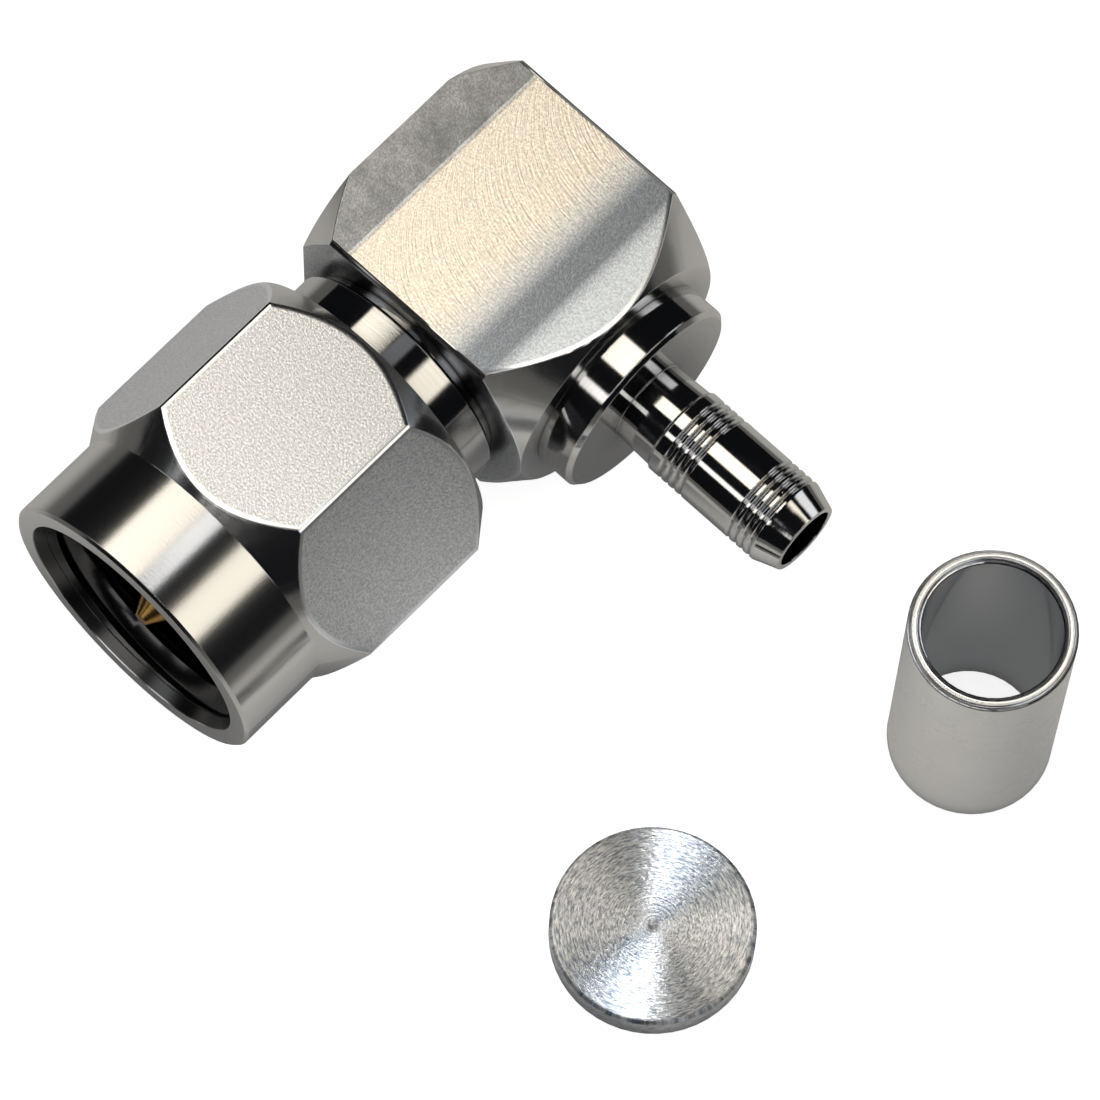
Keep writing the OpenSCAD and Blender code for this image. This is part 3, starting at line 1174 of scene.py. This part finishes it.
@dataclass
class LooseParts:
    """The ferrule and the end cap that lie beside the plug."""

    ferrule: Point = (15.68, 10.44, 0.0)
    cap: Point = (13.54, 1.32, -4.0)

    def build(self) -> None:
        """Dress both pieces."""
        Bench.dress("crimp_ferrule", TubeNickel(
            "nickel_ferrule", Axis.UPRIGHT, self.ferrule, colour=(0.77, 0.765, 0.755),
            shade=(0.70, 0.695, 0.685), roughness=(0.22, 0.30), edge=0.06).make())
        Bench.dress("end_cap", FacedNickel("nickel_cap", self.cap).make())


# ---------------------------------------------------------------------------
# Studio


@dataclass(frozen=True)
class SoftPanel:
    """A soft-edged light panel far off, given by the angles that it spans."""

    name: str
    azimuth: float
    elevation: float
    width: float
    height: float
    radiance: float
    colour: Colour = (1.0, 0.93, 0.80)
    soft: float = 3.0
    ahead: Pair = (0.05, 0.10)

    def glow(self, bench: ShaderBench, direction: Socket) -> Socket:
        """Give the panel's light in a direction.

        Args:
            bench: the world being built.
            direction: the direction looked in.

        Returns:
            The colour's socket.
        """
        aim = Euler((math.radians(90 + self.elevation), 0, math.radians(self.azimuth - 90)))
        face = aim.to_matrix()
        ahead = bench.dot(direction, -face.col[2])
        light = bench.spread(ahead, *self.ahead, 0, self.radiance)
        for side, span in ((face.col[0], self.width), (face.col[1], self.height)):
            offset = bench.size(bench.math("DIVIDE", bench.dot(direction, side), ahead))
            inner, outer = (math.tan(math.radians((span + more) / 2))
                            for more in (-self.soft, self.soft))
            light = bench.times(light, bench.ramp(offset, outer, inner, Ease.SMOOTH))
        tinted = bench.node("VectorMath", self.name, operation="SCALE")
        return bench.feed(tinted, self.colour, Scale=light).outputs[0]


@dataclass(frozen=True)
class FloorPatch:
    """A round patch of the floor, or one drawn out along Y."""

    x: float
    y: float
    radius: float = 0.0
    half_length: float = 0.0

    def distance(self, bench: ShaderBench, x: Socket, y: Socket) -> Socket:
        """Give how far a point of the floor is from the middle of the patch.

        Args:
            bench: the floor's material.
            x: the point's place along X, in millimetres.
            y: its place along Y, in millimetres.

        Returns:
            The distance, in millimetres.
        """
        past_end = bench.minus(bench.size(bench.minus(y, self.y)), self.half_length)
        away = bench.join(bench.minus(x, self.x), bench.most(past_end, 0.0))
        made = bench.node("VectorMath", "distance", operation="LENGTH")
        return bench.feed(made, away).outputs["Value"]


@dataclass
class Studio:
    """Pale floor, soft panels, two small lamps and a dim room."""

    floor_z: float = -4.0
    floor_size: float = 4000.0
    floor_colour: Colour = (0.90, 0.90, 0.90)
    floor_roughness: float = 0.9
    floor_white: float = 0.85
    # painted light: in the metal, the floor glows brighter near the part than far off
    glow: Pair = (0.10, 0.02)
    glow_reach: Pair = (5, 45)
    # painted shade: in the metal, the floor turns grey far off, and under the plug and the
    # collar as a painted shadow, in the patches below
    far_shade_colour: Colour = (0.26, 0.26, 0.26)
    far_shade_reach: Pair = (17, 32)
    middle: FloorPatch = FloorPatch(6.0, 6.0)
    plug_shadow: FloorPatch = FloorPatch(0.0, 5.5, radius=3.6, half_length=6.0)
    collar_shadow: FloorPatch = FloorPatch(6.8, 10.2, radius=2.0)
    shadow_ease: float = 3.0
    room: Colour = (0.006, 0.0065, 0.008)
    lamp_place: Point = (0.9, 8.7, 42.5)
    lamp_aim: Point = (0, -1.6, 3.9)
    lamp_size: Pair = (10, 5)
    lamp_radiance: float = 1.5
    lamp_colour: Colour = (1.0, 0.99, 0.98)
    snoot_place: Point = (-6.0, 32.6, 44.2)
    snoot_aim: Point = (13.54, 1.32, -3.1)
    snoot_r: float = 2.6
    snoot_cone: float = 8.0
    snoot_soft: float = 0.4
    snoot_power: float = 0.055
    snoot_colour: Colour = (0.97, 0.99, 1.0)
    panels: tuple[SoftPanel, ...] = (
        SoftPanel("left_window", 177.3, 65, 31.5, 35, 1.95, (1.0, 0.93, 0.81), soft=2.5),
        SoftPanel("right_window", 26, 47, 30, 25, 1.5, soft=5),
        SoftPanel("front_strip", -84, 46, 40, 11, 1.7, (1.0, 0.98, 0.95)),
        SoftPanel("ceiling_panel", 84, 75, 14, 8, 0.20, (0.92, 0.97, 1.0)),
        SoftPanel("far_right_fill", 66, 30, 34, 24, 1.2, (0.96, 0.98, 1.0), soft=8),
        SoftPanel("near_right_fill", -18, 40, 34, 24, 1.2, (0.96, 0.98, 1.0), soft=8),
        SoftPanel("near_left_fill", -147, 36, 30, 20, 1.2, (0.96, 0.98, 1.0), soft=8),
    )

    def build(self) -> None:
        """Set up the floor, the room and the two small lamps."""
        self._floor()
        self._room()
        self._lamp()
        self._snoot()

    def _floor(self) -> None:
        """Lay the floor and give it its paper."""
        Bench.clear_selection()
        bpy.ops.mesh.primitive_plane_add(size=self.floor_size * MM,
                                         location=(0, 0, self.floor_z * MM))
        floor = bpy.context.object
        floor.name = "floor"
        floor.data.materials.append(self._paper())

    def _paper(self) -> bpy.types.Material:
        """Make the floor's paper: white to the eye; in the metal it shows a painted pool of
        light near the part, painted shade far off and a painted shadow under the plug and the
        collar.

        Returns:
            The material.
        """
        bench, material = ShaderBench.for_material("floor_paper")
        rays = bench.node("LightPath", "who looks").outputs
        x, y, _ = bench.split(bench.place())
        distance = self.middle.distance(bench, x, y)
        # painted shade: how grey the floor looks in the metal, far off and in the painted shadow
        # under the plug and the collar
        dim = bench.ramp(distance, *self.far_shade_reach, Ease.SMOOTH)
        for patch in (self.plug_shadow, self.collar_shadow):
            dim = bench.most(dim, bench.ramp(patch.distance(bench, x, y),
                                             patch.radius + self.shadow_ease, patch.radius,
                                             Ease.SMOOTH))
        # painted light: extra glow that only the metal sees, strongest near the part
        glow = bench.spread(distance, *self.glow_reach, *self.glow, Ease.SMOOTH)
        to_eye = bench.most(rays["Is Camera Ray"], rays["Is Transmission Ray"])
        bench.show(bench.feed(
            bench.node("BsdfPrincipled", "matt paper"),
            Base_Color=bench.blend(bench.times(rays["Is Glossy Ray"], dim),
                                   self.floor_colour, self.far_shade_colour),
            Roughness=self.floor_roughness, Specular_IOR_Level=0.0, Emission_Color=(1, 1, 1),
            Emission_Strength=bench.plus(bench.times(to_eye, self.floor_white),
                                         bench.times(rays["Is Glossy Ray"], glow))))
        material.cycles.emission_sampling = "NONE"
        return material

    def _room(self) -> None:
        """Hang the panels in a dim room, white where it is looked at past the floor."""
        world = bpy.data.worlds.new("room")
        bpy.context.scene.world = world
        world.use_nodes = True
        bench = ShaderBench(world.node_tree, Output.WORLD)
        direction = bench.node("TexCoord", "direction").outputs["Generated"]
        total = bench.join(*self.room)
        for panel in self.panels:
            adding = bench.node("VectorMath", "and " + panel.name, operation="ADD")
            total = bench.feed(adding, total, panel.glow(bench, direction)).outputs[0]
            log.info("hung %s", panel.name)
        lit = bench.feed(bench.node("Background", "room"), Color=total)
        white = bench.feed(bench.node("Background", "white past the floor"), Color=(1, 1, 1))
        to_eye = bench.node("LightPath", "who looks").outputs["Is Camera Ray"]
        bench.show(bench.feed(bench.node("MixShader", "room or white"), to_eye,
                              lit.outputs[0], white.outputs[0]))

    def _lamp(self) -> None:
        """Hang the small lamp over the nut's skirt."""
        data = bpy.data.lights.new("nut_lamp", "AREA")
        data.shape = "RECTANGLE"
        data.size, data.size_y = (side * MM for side in self.lamp_size)
        data.energy = self.lamp_radiance * math.pi * data.size * data.size_y
        data.color = self.lamp_colour
        self._hang(data, self.lamp_place, self.lamp_aim)

    def _snoot(self) -> None:
        """Hang the narrow lamp that draws the cap's fans."""
        data = bpy.data.lights.new("cap_snoot", "SPOT")
        data.energy = self.snoot_power
        data.shadow_soft_size = self.snoot_r * MM
        data.spot_size = math.radians(self.snoot_cone)
        data.spot_blend = self.snoot_soft
        data.color = self.snoot_colour
        self._hang(data, self.snoot_place, self.snoot_aim)

    @staticmethod
    def _hang(data: bpy.types.Light, place: Point, aim: Point) -> None:
        """Put a lamp at a place, facing a point.

        Args:
            data: the lamp.
            place: where it hangs, in millimetres.
            aim: what it faces, in millimetres.
        """
        lamp = bpy.data.objects.new(data.name, data)
        lamp.location = [v * MM for v in place]
        lamp.rotation_euler = (Vector(place) - Vector(aim)).to_track_quat("Z", "Y").to_euler()
        lamp.visible_camera = False
        bpy.context.scene.collection.objects.link(lamp)
        log.info("hung %s", lamp.name)


@dataclass
class ProductCamera:
    """A long lens that looks down on the part from above its mouth and stem."""

    location: Point = (45.6485, -40.6822, 157.7509)
    turn: Point = (21.153, -1.0746, 43.3791)
    lens: float = 229.09
    sensor: float = 36.0
    sight: Pair = (10.0, 20000.0)

    def build(self) -> None:
        """Make the camera and give it to the scene."""
        data = bpy.data.cameras.new("camera")
        data.lens = self.lens
        data.sensor_width = self.sensor
        data.clip_start, data.clip_end = (end * MM for end in self.sight)
        camera = bpy.data.objects.new("camera", data)
        camera.location = [v * MM for v in self.location]
        camera.rotation_euler = Euler([math.radians(v) for v in self.turn], "XYZ")
        bpy.context.scene.collection.objects.link(camera)
        bpy.context.scene.camera = camera


def main() -> None:
    """Build the part's looks, the studio and the camera."""
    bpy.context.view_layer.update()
    for assembly in (ProductCamera(), CouplingNut(), PlugBody(), LooseParts(), Studio()):
        assembly.build()
        log.info("built %s", type(assembly).__name__)
    bpy.context.scene.view_settings.view_transform = "Standard"


if __name__ == "__main__":
    main()
